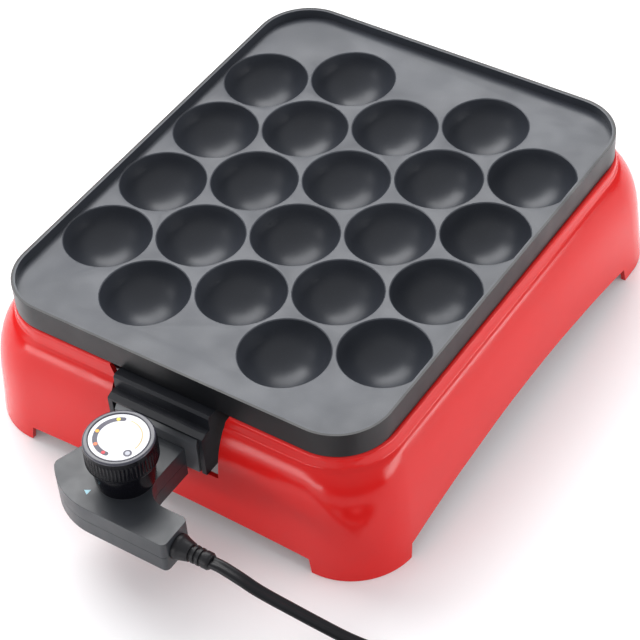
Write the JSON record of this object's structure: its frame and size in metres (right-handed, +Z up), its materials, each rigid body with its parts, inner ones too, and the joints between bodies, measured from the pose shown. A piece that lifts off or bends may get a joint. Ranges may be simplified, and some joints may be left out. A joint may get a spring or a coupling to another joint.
{
  "type": "takoyaki maker",
  "caption": "Table-top electric takoyaki maker: red moulded base, lift-off cast plate of round moulds with heater, and a plug-in thermostat control with dial and mains cord.",
  "frame": {"origin": "on the table surface, under the middle of the base and the plugged-in control together", "axes": "+Z up; -Y towards the front, where the control plugs in; +X towards the side the cord leaves on"},
  "size_m": [0.3389, 0.4045, 0.08],
  "materials": {
    "shell_red": "glossy moulded red",
    "shield_steel": "bare pressed sheet",
    "screw_steel": "plated screws",
    "plate_coating": "satin dark non-stick coating",
    "heater_sheath": "dull metal sheath",
    "pin_metal": "plated metal",
    "ceramic": "matte cream",
    "hood_black": "satin black heat-proof resin",
    "case_grey": "satin charcoal resin",
    "contact_brass": "bright metal",
    "relief_rubber": "soft black",
    "cord_jacket": "smooth black vinyl",
    "plug_black": "moulded black vinyl",
    "knob_black": "glossy black",
    "dial_white": "white printed face"
  },
  "bodies": {
    "base": {"base_shell": "shell_red", "heat_shield": "shield_steel", "shield_screws": "screw_steel"},
    "plate_assembly": {"takoyaki_plate": "plate_coating", "heater_tube": "heater_sheath", "heater_clips": "shield_steel", "clip_screws": "screw_steel", "terminal_pins": "pin_metal", "pin_bushings": "ceramic", "sensor_sleeve": "pin_metal", "terminal_hood": "hood_black", "hood_screws": "screw_steel"},
    "control": {"case_upper": "case_grey", "case_lower": "case_grey", "socket_block": "hood_black", "socket_contacts": "contact_brass", "sensor_rod": "pin_metal", "thermostat_frame": "shield_steel", "switch_blades": "contact_brass", "case_screws": "screw_steel", "cord_grip": "ceramic", "strain_relief": "relief_rubber", "cord_free": "cord_jacket", "cord_coil": "cord_jacket", "plug_body": "plug_black", "plug_blades": "contact_brass"},
    "dial": {"dial_knob": "knob_black", "dial_disc": "dial_white", "dial_shaft": "pin_metal"}
  },
  "joints": [
    {"name": "plate_lift", "type": "slide", "parent": "base", "child": "plate_assembly", "axis": [0, 0, 1], "range_m": [0, 0.12]},
    {"name": "control_pull", "type": "slide", "parent": "plate_assembly", "child": "control", "axis": [0, -1, 0], "range_m": [0, 0.08]},
    {"name": "dial_turn", "type": "hinge", "parent": "control", "child": "dial", "pos_m": [0.0028, -0.1385, 0.06], "axis": [0, 0, 1], "range_deg": [-29, 270]}
  ]
}
